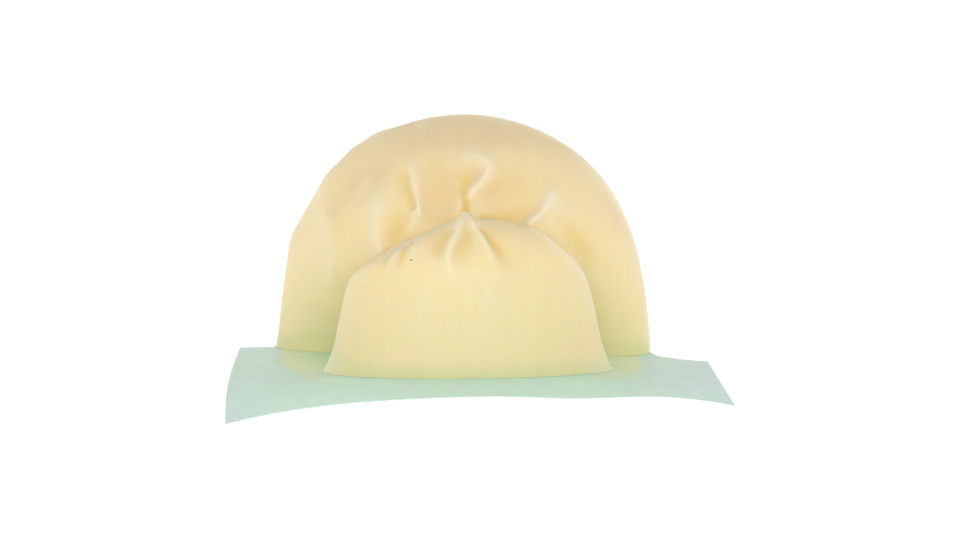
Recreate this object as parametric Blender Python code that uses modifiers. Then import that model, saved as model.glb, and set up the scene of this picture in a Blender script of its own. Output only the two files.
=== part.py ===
# Half of a scamorza, cut lengthwise and lying on its cut face, head towards -Y,
# on the thin sheet of wrapping film that comes with it.
# +X is to the right of someone who looks at the head, +Z is up. The origin is on the
# underside of the film, below the widest section of the cheese's body.

import math

import bmesh
import bpy
import numpy as np
from mathutils import Matrix

MM = 0.001

# All sizes below are in millimetres; heights of the cheese count from its cut face.
FILM_THICKNESS = 0.4
TOUCHING_GAP = 0.3

# A lobe is a dome: elliptic in plan, upright at the foot, rounder towards its top. Its
# front and rear are each given at the foot and from LENGTHS_REACHED upwards, so that the
# body is drawn in beside the neck.
BODY = {
    "centre": (-0.4, 7.0),
    "half_width": 43.7,
    "front": (13.0, 25.0),
    "rear": (55.0, 55.0),
    "height": 54.6,
    "roundness": 3.2,
    "taper": 0.0021,
    "lean": 0.0125,
    "yaw": -8.2,
}
HEAD = {
    "centre": (1.5, -30.4),
    "half_width": 30.9,
    "front": (13.6, 14.6),
    "rear": (46.0, 25.0),
    "height": 33.6,
    "roundness": 6.5,
    "taper": 0.0068,
    "lean": -0.0136,
    "yaw": 6.0,
}
LENGTHS_LEFT = 1.0
LENGTHS_REACHED = 32.0
SMALLEST_GAUGE = 1e-6
NECK_BLEND = 0.9
NECK_PINCH = 1.6
NECK_PINCH_WIDTH = 2.6
NECK_CHANGEOVER = 0.8

# Both shoulders of the head are pressed flat, each by a plane that slopes down from
# the middle at an angle and lies at a distance from the point below the origin.
PRESSED_LEFT = (math.radians(26.3), 30.4)
PRESSED_RIGHT = (math.radians(36.9), 35.2)
PRESSED_BLEND = 1.0

# Pleats and folds where the skin was gathered at the neck, seen from the front and
# 45 degrees above: (x, rise) from where each starts to where it fades out, with
# rise = (y + z) / sqrt(2), then its height (below 0 for a groove) and its half width.
HEAD_PLEATS = {
    "left_ridge": ([(0.6, 5.0), (-0.3, -2.2), (-2.9, -9.0), (-2.5, -15.0)], 1.3, 1.3),
    "right_ridge": ([(0.6, 5.0), (1.6, -1.8), (5.6, -8.5), (9.2, -14.0)], 1.3, 1.3),
    "left_groove": ([(-1.6, -1.0), (-2.4, -5.0), (-4.2, -8.2), (-7.0, -11.4)], -1.2, 1.8),
    "middle_hollow": ([(0.9, -3.5), (0.5, -8.0), (0.2, -12.6)], -0.8, 1.8),
    "right_groove": ([(2.6, -1.0), (4.5, -4.3), (7.0, -8.4), (10.0, -13.2)], -1.4, 1.4),
    "outer_ridge": ([(-11.4, 1.0), (-14.0, -5.6), (-16.4, -13.0)], 0.8, 1.5),
}
BODY_FOLDS = {
    "middle_groove": ([(0.6, 13.0), (0.8, 16.4), (1.1, 20.6), (3.8, 25.6)], -1.5, 1.6),
    "middle_ridge": ([(1.4, 16.8), (4.1, 20.1), (5.8, 23.2), (4.4, 26.4)], 1.2, 1.4),
    "left_ridge": ([(-9.2, 14.0), (-9.9, 17.6), (-10.9, 23.0), (-11.5, 29.0)], 1.1, 1.3),
    "left_groove": ([(-11.2, 16.0), (-12.4, 21.0), (-13.4, 27.0)], -0.9, 1.4),
    "wide_ridge": ([(-17.6, 9.0), (-19.3, 13.0), (-19.2, 17.6), (-17.0, 24.6)], 1.4, 2.0),
    "wide_hollow": ([(-12.6, 16.2), (-15.0, 13.6), (-17.2, 11.0)], -0.7, 2.0),
    "far_ridge": ([(-29.8, 11.0), (-30.8, 20.0), (-32.0, 30.0)], 0.8, 1.7),
    "right_ridge": ([(14.6, 11.8), (17.5, 14.3), (19.2, 17.4), (20.2, 21.5)], 1.4, 1.6),
    "right_groove": ([(4.0, 12.6), (12.6, 13.2), (15.4, 15.4), (16.8, 19.0)], -0.8, 1.6),
}
FOLD_FADE_SHARE = 0.35
FOLDS_END_Y = 4.0
FOLDS_END_WIDTH = 1.5
FARTHEST = 1e9

# Mesh: steps round the half dome, and from its front pole to its rear pole, and how much
# closer together its rings are beside the neck.
STEPS_ROUND = 62
STEPS_ALONG = 84
RINGS_CROWDED = 0.34
RAY_START = (0.5, 0.0)
RAY_REACH = 95.0
HALVINGS = 40
LEVEL_TOLERANCE = 1e-5
SHARP_ANGLE = math.radians(70.0)

# Film: corners of the sheet, how far its rounded rear stands out beyond the foot of the
# cheese, and the lift of its front edge, which dips at a share of its length.
FILM_FRONT_LEFT = (-46.5, -112.0)
FILM_FRONT_RIGHT = (56.3, -84.5)
FILM_BACK_LEFT = (-52.3, 15.0)
FILM_BACK_RIGHT = (55.6, -10.3)
FILM_SIDE_MARGIN = 0.8
FILM_REAR_MARGIN = 3.5
FILM_REAR_RIGHT = (44.6, -3.6)
FILM_REAR_LIMIT = 42.9
FILM_REAR_LAST_ANGLE = math.radians(176.0)
FILM_FRONT_LIFT = 4.0
FILM_LIFT_START = -48.0
FILM_LIFT_BEND = 1.8
FILM_LIFT_FLATNESS = 4
FILM_DIP = 1.0
FILM_DIP_PLACE = 0.69
FILM_DIP_WIDTH = 0.14
FILM_STEPS_ACROSS = 26
FILM_STEPS_ALONG = 22
FILM_CORNER_SHARE = 2.0 / FILM_STEPS_ACROSS
FILM_ROUNDED_SHARE = 1.0 - 2.5 * FILM_CORNER_SHARE
FILM_CORNER_TOLERANCE = 0.01

CHEESE_COLOUR = (0.80, 0.68, 0.38)
CHEESE_ROUGHNESS = 0.45
FILM_COLOUR = (0.42, 0.72, 0.60)
FILM_ROUGHNESS = 0.15
FILM_ALPHA = 0.75


def clear_scene():
    for item in list(bpy.data.objects):
        bpy.data.objects.remove(item)


def new_collection(name):
    collection = bpy.data.collections.new(name)
    bpy.context.scene.collection.children.link(collection)
    return collection


def new_material(name, colour, roughness, alpha=1.0):
    material = bpy.data.materials.new(name)
    material.use_nodes = True
    shader = material.node_tree.nodes["Principled BSDF"]
    shader.inputs["Base Color"].default_value = (*colour, 1.0)
    shader.inputs["Roughness"].default_value = roughness
    shader.inputs["Metallic"].default_value = 0.0
    shader.inputs["Alpha"].default_value = alpha
    return material


def add_object(name, mesh, material, collection):
    mesh.materials.append(material)
    item = bpy.data.objects.new(name, mesh)
    collection.objects.link(item)
    return item


def lobe_depth(points, lobe):
    """How far each point lies outside the lobe, along the ray from the lobe's middle."""
    height = np.abs(points[:, 2])
    x = points[:, 0] - lobe["centre"][0] - lobe["lean"] * height
    y = points[:, 1] - lobe["centre"][1]
    turn = math.radians(lobe["yaw"])
    across = x * math.cos(turn) + y * math.sin(turn)
    along = y * math.cos(turn) - x * math.sin(turn)
    narrowing = 1.0 - lobe["taper"] * np.minimum(height, lobe["height"])
    climb = np.clip((height - LENGTHS_LEFT) / (LENGTHS_REACHED - LENGTHS_LEFT), 0.0, 1.0)
    climb = climb ** 2 * (3.0 - 2.0 * climb)
    front = lobe["front"][0] + climb * (lobe["front"][1] - lobe["front"][0])
    rear = lobe["rear"][0] + climb * (lobe["rear"][1] - lobe["rear"][0])
    length = np.where(along < 0.0, front, rear)
    plan = (across / lobe["half_width"]) ** 2 + (along / length) ** 2
    rise = (height / lobe["height"]) ** lobe["roundness"]
    gauge = np.sqrt(plan / narrowing ** 2 + rise)
    from_middle = np.sqrt(x ** 2 + y ** 2 + height ** 2)
    return from_middle * (1.0 - 1.0 / np.maximum(gauge, SMALLEST_GAUGE))


def soft_union(first, second, blend):
    nearer = np.minimum(first, second)
    total = np.exp((nearer - first) / blend) + np.exp((nearer - second) / blend)
    return nearer - blend * np.log(total)


def press_flat(depth, points, side, plane):
    """Cut off what lies beyond a sloping plane: side is -1 for left, 1 for right."""
    slope, distance = plane
    beyond = points[:, 2] * math.cos(slope) + side * points[:, 0] * math.sin(slope) - distance
    return -soft_union(-depth, -beyond, PRESSED_BLEND)


def distance_to_path(x, rise, path):
    """Distance to a path, and how far along it (0 to 1) the nearest spot is."""
    best = np.full(x.shape, FARTHEST)
    place = np.zeros(x.shape)
    spans = len(path) - 1
    for index in range(spans):
        start = np.array(path[index])
        step = np.array(path[index + 1]) - start
        share = ((x - start[0]) * step[0] + (rise - start[1]) * step[1]) / (step @ step)
        share = np.clip(share, 0.0, 1.0)
        distance = np.hypot(x - start[0] - share * step[0], rise - start[1] - share * step[1])
        nearer = distance < best
        best = np.where(nearer, distance, best)
        place = np.where(nearer, (index + share) / spans, place)
    return best, place


def fold_height(points, folds):
    """Sum of rounded ridges and grooves, each fading out towards its far end."""
    height = np.zeros(len(points))
    rise = (points[:, 1] + points[:, 2]) / math.sqrt(2.0)
    for path, peak, half_width in folds.values():
        distance, place = distance_to_path(points[:, 0], rise, path)
        fade = np.clip((1.0 - place) / FOLD_FADE_SHARE, 0.0, 1.0)
        height += peak * fade * np.exp(-((distance / half_width) ** 2))
    return height / (1.0 + np.exp((points[:, 1] - FOLDS_END_Y) / FOLDS_END_WIDTH))


def cheese_depth(points):
    """Signed depth of the whole form: below 0 inside the cheese."""
    body = lobe_depth(points, BODY)
    head = lobe_depth(points, HEAD)
    head = press_flat(head, points, -1, PRESSED_LEFT)
    head = press_flat(head, points, 1, PRESSED_RIGHT)
    form = soft_union(body, head, NECK_BLEND)
    form += NECK_PINCH * np.exp(-(body ** 2 + head ** 2) / (2.0 * NECK_PINCH_WIDTH ** 2))
    on_head = 1.0 / (1.0 + np.exp((head - body) / NECK_CHANGEOVER))
    form -= on_head * fold_height(points, HEAD_PLEATS)
    form -= (1.0 - on_head) * fold_height(points, BODY_FOLDS)
    return form


def surface_points(directions):
    """Halve the stretch of each ray that holds the surface until it is found."""
    start = np.array([RAY_START[0], RAY_START[1], 0.0])
    inside = np.zeros(len(directions))
    outside = np.full(len(directions), RAY_REACH)
    for _ in range(HALVINGS):
        middle = (inside + outside) / 2.0
        within = cheese_depth(start + directions * middle[:, None]) < 0.0
        inside = np.where(within, middle, inside)
        outside = np.where(within, outside, middle)
    return start + directions * inside[:, None]


def crowd_rings(directions):
    """Turn each direction towards the ring that is square to Y, where the neck is."""
    from_rear = np.arccos(np.clip(directions[:, 1], -1.0, 1.0))
    turned = from_rear + RINGS_CROWDED * np.sin(2.0 * from_rear)
    level = np.hypot(directions[:, 0], directions[:, 2])
    share = np.sin(turned) / np.maximum(level, LEVEL_TOLERANCE)
    share = np.where(level < LEVEL_TOLERANCE, 0.0, share)
    return np.stack((directions[:, 0] * share, np.cos(turned), directions[:, 2] * share), axis=1)


def make_cheese(material, collection):
    """A sphere with its poles along Y, pushed out to the form and halved at the cut."""
    form = bmesh.new()
    bmesh.ops.create_uvsphere(
        form,
        u_segments=2 * STEPS_ROUND,
        v_segments=STEPS_ALONG,
        radius=1.0,
        matrix=Matrix.Rotation(math.radians(90.0), 4, "X"),
    )
    lower = [face for face in form.faces if face.calc_center_median().z < 0.0]
    bmesh.ops.delete(form, geom=lower, context="FACES")
    directions = crowd_rings(np.array([vert.co for vert in form.verts]))
    directions[np.abs(directions[:, 2]) < LEVEL_TOLERANCE, 2] = 0.0
    directions /= np.linalg.norm(directions, axis=1)[:, None]
    lift = FILM_THICKNESS + TOUCHING_GAP
    for vert, point in zip(form.verts, surface_points(directions)):
        vert.co = (point[0] * MM, point[1] * MM, (point[2] + lift) * MM)
    rim = [edge for edge in form.edges if edge.is_boundary]
    bmesh.ops.contextual_create(form, geom=rim)
    bmesh.ops.recalc_face_normals(form, faces=form.faces)
    mesh = bpy.data.meshes.new("scamorza_half")
    form.to_mesh(mesh)
    form.free()
    mesh.shade_smooth()
    mesh.set_sharp_from_angle(angle=SHARP_ANGLE)
    return add_object("scamorza_half", mesh, material, collection)


def along_line(start, end, share):
    return [a + share * (b - a) for a, b in zip(start, end)]


def foot_point(angle):
    """A point just outside the rear of the body's foot: 0 is its left, pi its right."""
    turn = math.radians(BODY["yaw"])
    across = -(BODY["half_width"] + FILM_SIDE_MARGIN) * math.cos(angle)
    along = (BODY["rear"][0] + FILM_REAR_MARGIN) * math.sin(angle)
    x = BODY["centre"][0] + across * math.cos(turn) - along * math.sin(turn)
    y = BODY["centre"][1] + across * math.sin(turn) + along * math.cos(turn)
    return min(x, FILM_REAR_LIMIT), y


def film_rear(side):
    """The sheet's rear edge: two short corners with the rounded rear between them."""
    if side < FILM_CORNER_SHARE:
        return along_line(FILM_BACK_LEFT, foot_point(0.0), side / FILM_CORNER_SHARE)
    from_right = (1.0 - side) / FILM_CORNER_SHARE
    if from_right < 1.0 + FILM_CORNER_TOLERANCE:
        return along_line(FILM_BACK_RIGHT, FILM_REAR_RIGHT, from_right)
    rounded = (side - FILM_CORNER_SHARE) / FILM_ROUNDED_SHARE
    return foot_point(min(rounded, 1.0) * FILM_REAR_LAST_ANGLE)


def make_film(material, collection):
    """A grid laid between the front and rear edges, bent up along its front edge."""
    sheet = bmesh.new()
    bmesh.ops.create_grid(
        sheet,
        x_segments=FILM_STEPS_ACROSS,
        y_segments=FILM_STEPS_ALONG,
        size=1.0,
    )
    for vert in sheet.verts:
        side, along = (vert.co.x + 1.0) / 2.0, (vert.co.y + 1.0) / 2.0
        front = along_line(FILM_FRONT_LEFT, FILM_FRONT_RIGHT, side)
        x, y = along_line(front, film_rear(side), along)
        reach = np.clip((FILM_LIFT_START - y) / (FILM_LIFT_START - front[1]), 0.0, 1.0)
        lift = FILM_FRONT_LIFT * (1.0 - vert.co.x ** FILM_LIFT_FLATNESS)
        lift -= FILM_DIP * math.exp(-((side - FILM_DIP_PLACE) / FILM_DIP_WIDTH) ** 2)
        lift = max(lift, 0.0) * reach ** FILM_LIFT_BEND
        vert.co = (x * MM, y * MM, (lift + FILM_THICKNESS) * MM)
    bmesh.ops.recalc_face_normals(sheet, faces=sheet.faces)
    mesh = bpy.data.meshes.new("film_sheet")
    sheet.to_mesh(mesh)
    sheet.free()
    film = add_object("film_sheet", mesh, material, collection)
    wall = film.modifiers.new("Thickness", "SOLIDIFY")
    wall.thickness = FILM_THICKNESS * MM
    wall.offset = -1.0
    return film


def main():
    clear_scene()
    parts = new_collection("scamorza")
    cheese_skin = new_material("cheese", CHEESE_COLOUR, CHEESE_ROUGHNESS)
    film_green = new_material("film", FILM_COLOUR, FILM_ROUGHNESS, FILM_ALPHA)
    make_cheese(cheese_skin, parts)
    make_film(film_green, parts)


main()
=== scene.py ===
# Looks for half a scamorza on its wrapping film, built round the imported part.
# Sizes are in millimetres and become metres where a mesh is made. Heights of the cheese
# count from its cut face, x is to the right and y away from the viewer, as in the frame.

import math

import bpy
import numpy as np
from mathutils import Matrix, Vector


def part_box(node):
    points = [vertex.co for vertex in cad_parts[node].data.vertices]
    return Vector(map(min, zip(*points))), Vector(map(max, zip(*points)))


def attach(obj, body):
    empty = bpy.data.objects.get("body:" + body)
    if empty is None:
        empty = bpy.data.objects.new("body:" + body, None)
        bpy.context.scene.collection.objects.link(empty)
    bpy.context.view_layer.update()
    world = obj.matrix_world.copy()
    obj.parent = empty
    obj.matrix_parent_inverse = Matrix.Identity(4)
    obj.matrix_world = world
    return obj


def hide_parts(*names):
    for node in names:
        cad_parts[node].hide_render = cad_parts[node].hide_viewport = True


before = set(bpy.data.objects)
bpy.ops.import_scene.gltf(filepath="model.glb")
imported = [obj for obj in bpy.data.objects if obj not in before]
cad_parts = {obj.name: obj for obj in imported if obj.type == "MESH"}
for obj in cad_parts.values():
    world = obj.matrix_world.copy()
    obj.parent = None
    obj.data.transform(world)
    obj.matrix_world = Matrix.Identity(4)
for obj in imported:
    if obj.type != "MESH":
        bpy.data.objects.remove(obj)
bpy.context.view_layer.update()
mm = 0.001
cheeseLow, cheeseHigh = (np.array(corner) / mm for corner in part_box("scamorza_half"))
print("frame loaded, cheese solid", np.round(cheeseHigh - cheeseLow, 1), "mm")


# sRGB hex to the linear colour a shader takes
def linearColour(code):
    share = np.array([int(code[place:place + 2], 16) for place in (1, 3, 5)]) / 255
    bright = ((share + 0.055) / 1.055) ** 2.4
    return (*np.where(share <= 0.04045, share / 12.92, bright).tolist(), 1.0)


# adds one node with its settings, then a value or a link for each named input
def addNode(tree, kind, settings=None, inputs=None):
    node = tree.nodes.new("ShaderNode" + kind)
    for name, value in (settings or {}).items():
        setattr(node, name, value)
    for name, value in (inputs or {}).items():
        if isinstance(value, bpy.types.NodeSocket):
            tree.links.new(value, node.inputs[name])
        else:
            node.inputs[name].default_value = value
    return node


# an empty material with its tree and its one surface shader
def newMaterial(name, sockets):
    material = bpy.data.materials.new(name)
    material.use_nodes = True
    tree = material.node_tree
    shader = tree.nodes["Principled BSDF"]
    for socket, value in sockets.items():
        shader.inputs[socket].default_value = value
    return material, tree, shader


# 0 below low, 1 above high, and 3s^2 - 2s^3 of the share s between them
def smoothStep(value, low, high):
    share = np.clip((value - low) / (high - low), 0, 1)
    return share * share * (3 - 2 * share)


# the waves that make a surface uneven
slowWaves = {
    "count": 7,
    "turn": 2.4,              # from one wave's direction to the next, in radians
    "climb": 1.7,             # how much faster the direction turns up and down
    "shortest": 0.75,         # the first wave's length, as a share of what is asked for
    "longer": 0.13,           # what each next one adds
    "shift": 1.9,
    "divisor": 4.0,
}


# Sum of slow waves with unlike directions: sin of (point times wave) for each, divided so that
# a surface swells and sinks by about 1 without repeating
def unevenness(points, wavelength, turn):
    total = np.zeros(points.shape[:-1])
    for number in range(slowWaves["count"]):
        angle = turn + slowWaves["turn"] * number
        wave = np.array([math.cos(angle), math.sin(angle), math.sin(slowWaves["climb"] * angle + 1)])
        length = wavelength * (slowWaves["shortest"] + slowWaves["longer"] * number)
        total += np.sin(2 * math.pi / length * (points @ wave) + slowWaves["shift"] * number)
    return total / slowWaves["divisor"]


# Makes a mesh object from points in millimetres and lists of faces, smooth and at the origin
def meshObject(name, points, faces, material):
    mesh = bpy.data.meshes.new(name)
    mesh.from_pydata((points * mm).tolist(), [], faces)
    mesh.validate()
    mesh.shade_smooth()
    mesh.materials.append(material)
    item = bpy.data.objects.new(name, mesh)
    bpy.context.scene.collection.objects.link(item)
    return item


# keeps one number for each point on the mesh, for its material to read
def keepAttribute(item, name, values):
    layer = item.data.attributes.new(name, "FLOAT", "POINT")
    layer.data.foreach_set("value", values.astype(np.float32))


cheese = {
    # Each lobe is a dome, elliptic in plan and upright at the foot. Its front and rear are
    # given at the foot and above, as the body is drawn in beside the neck
    "body": {"centre": (-0.4, 7.0), "halfWidth": 43.7, "front": (13.0, 25.0), "rear": (55.0, 55.0),
             "height": cheeseHigh[2] - cheeseLow[2], "roundness": 3.2, "taper": 0.0021,
             "lean": 0.0125, "yaw": -8.2},
    "head": {"centre": (1.5, -30.4), "halfWidth": 30.9, "front": (13.6, 14.6), "rear": (46.0, 25.0),
             "height": 33.6, "roundness": 6.5, "taper": 0.0068, "lean": -0.0136, "yaw": 6.0},
    "lengthsLeft": 1.0,       # heights between which the one length passes into the other
    "lengthsReached": 32.0,
    "neckBlend": 0.7,
    "neckPinch": 1.7,
    "neckPinchWidth": 1.6,
    "neckChangeover": 0.8,
    # the flats on the head's shoulders, each as its slope in degrees and its distance
    "pressedLeft": (26.3, 30.4),
    "pressedRight": (36.9, 35.2),
    "pressedBlend": 0.8,
    "below": 0.08,            # the cut face sinks this far, down to the thin film
    "rimRadius": 0.2,
    "rimSpread": 1.3,         # the soft curd spreads a little at the head's cut rim
    "rimSpreadHeight": 2.0,
    "foldsStartHeight": 5.0,
    "foldsEndY": 4.0,
    "foldsEndWidth": 1.5,
    "bumpsY": (14.0, 14.0),   # the bumps' middle and their reach along the cheese
    "swell": 0.16,            # height of the slow unevenness of a hand-shaped cheese
    "broadSwell": (34.0, 0.4),    # its wavelength and first direction
    "smallSwell": (11.0, 2.0),
    "smallSwellShare": 0.3,
    "swellStartHeight": 6.0,
    "rayStart": (0.5, 0.0),
    "rayReach": 95.0,
    "halvings": 26,
    "stepsOver": 276,
    "stepsUnder": 34,
    "stepsAlong": 232,
    # where the mesh is closer, as (angle, width, how much)
    "closerOver": [(0, 52, 1.6), (-90, 1.2, 6), (90, 1.2, 6)],
    "closerAlong": [(66, 40, 2.2)],
    "angleSteps": 6001,
    "normalStep": 0.04,
}
# where the skin's colours go
tints = {
    "seamWidth": 2.4,         # in the neck painted shade makes the body's skin deeper yellow and a painted highlight makes the head's paler
    "seamHeights": (6.0, 24.0),
    "seamPaler": 0.1,
    "seamDeeper": 0.2,
    "rimPalerFrom": (24.0, 29.0),     # a painted highlight on the head's thin rim, at both ends
    "rimPalerHeight": 1.2,
    # the up-facing top is painted a darker pinkish tan, partly dried skin and partly painted shade
    "topDriedAndShade": 0.8,
    "topHeights": (24.0, 52.0),
    "topSlopes": (0.2, 0.95),
    "footHeight": 5.5,
    "cornerShadeAndBounce": 0.7,        # the painted green shade reaches the head's left corner too, this far out to the left
    "cornerFrom": (18.0, 27.0),
    "cornerHeight": 5.0,
}
# how a fold or a patch of colour fades
strokeFade = {
    "power": 1.5,
    "start": (-0.2, 1.8),     # in half widths from its start
    "end": 0.55,              # from this share of its length on
    "patchCrest": 1.0,        # how rounded the middle of a patch of colour is
}

# Pleats and folds gathered at the neck, as (path, height, crest radius, painted light). A path is a
# row of (x, rise, half width), seen from the front and 45 degrees above, so that
# rise = (y + z) / sqrt(2). A height below 0 is a groove, a small crest radius makes a crisp
# line, and the painted light is how far a painted highlight turns a ridge paler and painted shade turns
# a groove deeper yellow.
headFolds = {
    "leftRidge": ([(0.6, 5.0, 1.2), (0.4, 1.0, 1.2), (-0.3, -2.2, 0.9), (-1.2, -5.1, 0.9),
                   (-2.9, -9.0, 1.0), (-3.3, -11.1, 1.4), (-2.5, -14.0, 1.9), (-2.2, -18.0, 2.2)],
                  1.35, 0.35, 0.7),
    "rightRidge": ([(0.6, 5.0, 1.2), (0.8, 1.0, 1.2), (1.6, -1.8, 0.9), (3.2, -4.1, 0.8),
                    (5.6, -8.5, 0.9), (7.8, -11.6, 1.4), (9.6, -13.4, 1.7), (10.4, -16.0, 2.0)],
                   1.3, 0.35, 0.7),
    "middleHollow": ([(1.0, -3.2, 0.8), (0.3, -6.6, 1.2), (-0.5, -9.6, 1.5), (-1.2, -13.0, 1.5)],
                     -0.4, 0.9, 0.55),
    "rightGroove": ([(3.2, -2.2, 0.5), (4.6, -4.3, 0.9), (6.4, -7.3, 1.4), (8.0, -9.8, 1.6),
                     (9.4, -12.0, 1.4), (10.4, -14.0, 1.0)], -0.75, 0.8, 1.0),
    "leftGroove": ([(-1.4, -3.0, 0.8), (-2.1, -5.1, 1.4), (-3.9, -7.8, 1.8), (-6.1, -9.8, 1.6),
                    (-7.6, -11.0, 1.2)], -0.65, 0.9, 0.7),
    "outerRidge": ([(-10.6, 3.0, 0.9), (-12.6, -1.8, 0.8), (-14.0, -5.6, 0.7), (-15.5, -11.2, 0.8),
                    (-16.2, -14.6, 1.2)], 0.3, 0.4, 0.8),
    "outerGroove": ([(-10.4, -2.4, 0.6), (-12.0, -7.6, 0.9), (-13.7, -11.3, 0.9), (-14.8, -13.6, 0.7)],
                    -0.2, 0.4, 1.0),
    "outerRidge2": ([(-9.4, -4.0, 0.8), (-10.2, -7.2, 0.8), (-11.9, -10.6, 0.9), (-13.3, -13.2, 1.2)],
                    0.2, 0.5, 0.5),
    "farGroove": ([(-14.4, -3.6, 0.6), (-15.9, -7.6, 0.8), (-17.6, -11.0, 0.8), (-18.4, -13.0, 0.8)],
                  -0.15, 0.4, 0.8),
    "farRidge": ([(-16.4, -4.5, 0.7), (-17.6, -8.0, 0.7), (-19.6, -11.6, 0.9)], 0.2, 0.4, 0.6),
    "rightRim": ([(13.0, 2.4, 0.7), (17.3, -1.2, 0.9), (22.1, -4.9, 1.1), (26.0, -7.0, 1.2),
                  (27.6, -10.0, 1.2), (28.6, -15.0, 1.6)], 0.45, 0.5, 0.5),
    "rightPit": ([(11.6, 2.6, 0.6), (13.9, 1.4, 0.8), (16.0, 0.2, 0.6)], -0.6, 0.3, 0.3),
    "leftCrease": ([(-9.3, -17.0, 1.1), (-8.6, -22.5, 1.3), (-7.8, -29.0, 1.5)], 0.15, 0.8, 0.2),
    "rightCrease": ([(7.0, -14.0, 1.4), (5.6, -19.0, 1.4), (4.8, -28.0, 1.6)], 0.15, 0.9, 0.2),
}
bodyFolds = {
    "middleGroove": ([(0.3, 12.4, 0.6), (0.5, 14.3, 0.5), (0.8, 16.4, 0.5), (0.3, 18.6, 0.9),
                      (1.0, 21.0, 1.1), (2.2, 23.6, 1.5), (4.0, 25.2, 1.2)], -0.4, 0.6, 1.0),
    "middleRidge": ([(0.9, 16.2, 0.6), (2.2, 18.3, 0.9), (4.1, 20.1, 1.0), (5.5, 22.1, 1.0),
                     (5.9, 23.8, 1.0), (5.2, 25.6, 1.1), (3.4, 26.8, 1.2), (1.2, 26.8, 1.3),
                     (-0.6, 25.4, 1.3)], 1.15, 0.3, 0.8),
    "middleRim": ([(6.4, 23.6, 1.2), (5.4, 26.2, 1.3), (3.0, 27.2, 1.4), (0.4, 26.6, 1.5),
                   (-1.4, 24.8, 1.5), (-1.8, 22.0, 1.5)], 0.3, 0.8, 0.5),
    "middleLip": ([(-1.2, 13.0, 0.8), (-0.9, 15.6, 0.8), (-1.3, 18.2, 1.0)], 0.4, 0.4, 0.2),
    "leftRidge": ([(-9.2, 13.4, 0.5), (-9.9, 17.0, 0.6), (-10.6, 20.6, 0.9), (-11.0, 24.0, 1.2),
                   (-11.4, 27.4, 1.6), (-11.6, 30.0, 2.0)], 1.1, 0.3, 0.7),
    "leftGroove": ([(-10.8, 15.6, 0.6), (-12.2, 20.2, 0.9), (-13.2, 24.6, 1.3), (-13.6, 28.0, 1.6)],
                   -0.7, 0.6, 0.6),
    "leftFoot": ([(-10.3, 16.6, 0.5), (-11.2, 13.8, 0.6), (-12.4, 10.6, 0.7)], 0.5, 0.3, 0.4),
    "leftPatch": ([(-10.8, 14.8, 0.8), (-9.4, 12.6, 1.0)], 0.35, 0.6, 0.4),
    "wideRidge": ([(-17.6, 9.0, 0.8), (-19.2, 12.2, 1.3), (-19.4, 16.0, 1.6), (-18.6, 20.0, 2.0),
                   (-17.0, 25.0, 2.6)], 1.25, 0.45, 0.7),
    "wideHollow": ([(-12.4, 16.4, 1.6), (-14.8, 13.8, 2.2), (-17.0, 11.2, 1.7), (-18.0, 9.0, 1.2)],
                   -0.5, 1.0, 0.6),
    "farRidge": ([(-29.6, 9.0, 0.9), (-30.3, 15.9, 1.2), (-31.2, 22.0, 1.4), (-32.0, 30.0, 2.0)],
                 0.75, 0.5, 0.4),
    "farHollow": ([(-27.8, 13.0, 1.6), (-28.6, 22.4, 2.0), (-27.0, 31.0, 2.6)], -0.4, 1.2, 0.2),
    "lowRidge": ([(-33.0, 22.0, 1.6), (-31.0, 14.0, 1.8), (-28.6, 5.0, 2.4)], 0.4, 1.2, 0.3),
    "rightRidge": ([(14.0, 11.4, 0.5), (15.8, 12.8, 0.7), (17.5, 14.3, 0.9), (18.8, 16.3, 1.1),
                    (19.5, 18.5, 1.5), (20.4, 22.5, 2.2)], 1.3, 0.3, 1.0),
    "rightSwell": ([(19.6, 10.6, 2.0), (21.4, 14.0, 2.6), (21.8, 18.0, 2.8), (22.0, 21.0, 2.8)],
                   0.4, 1.4, 0.5),
    "rightGroove": ([(3.4, 12.6, 0.6), (8.4, 12.8, 0.7), (12.0, 13.3, 1.1), (14.6, 15.2, 1.4),
                     (16.2, 18.2, 1.6)], -0.25, 0.7, 0.7),
    "highHollow": ([(3.2, 17.4, 0.9), (6.2, 18.9, 1.2), (9.2, 20.6, 1.3), (12.0, 23.4, 1.2)],
                   -0.35, 0.8, 0.45),
    "seamHollow": ([(-9.4, 14.3, 0.8), (-4.6, 13.0, 0.9), (-0.6, 12.6, 0.7)], -0.25, 0.5, 0.35),
    "leftBroad": ([(-6.6, 12.0, 2.4), (-5.2, 17.0, 3.2), (-4.2, 23.0, 3.6), (-3.0, 29.0, 4.0)],
                  -0.35, 1.6, 0.35),
    "rightBroad": ([(5.0, 12.5, 2.0), (9.0, 16.0, 3.0), (12.0, 21.0, 3.6), (13.0, 27.0, 4.0)],
                   -0.3, 1.6, 0.3),
    "rightDeep": ([(20.5, 14.5, 0.8), (24.0, 12.6, 1.4), (27.6, 9.6, 1.4), (30.5, 5.5, 1.2)],
                  -0.1, 0.9, 0.7),
    "shoulderHollow": ([(-31.4, 19.6, 1.6), (-27.2, 24.7, 2.0), (-23.5, 29.0, 2.2), (-17.6, 35.0, 2.4)],
                       -0.6, 1.0, 0.0),
    "shoulderHollow2": ([(-25.0, 20.0, 1.2), (-19.6, 25.2, 1.6), (-14.0, 31.0, 1.8)], -0.45, 0.8, 0.0),
}
# low bumps on the body's left shoulder, as (x, height, radius, how far they stand out)
bumps = {
    "upper": (-20.0, 49.6, 3.6, 0.7),
    "middle": (-25.6, 46.2, 3.6, 0.8),
    "lower": (-31.4, 41.4, 4.0, 0.8),
    "side": (-40.6, 26.0, 5.0, 0.9),
}
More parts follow.
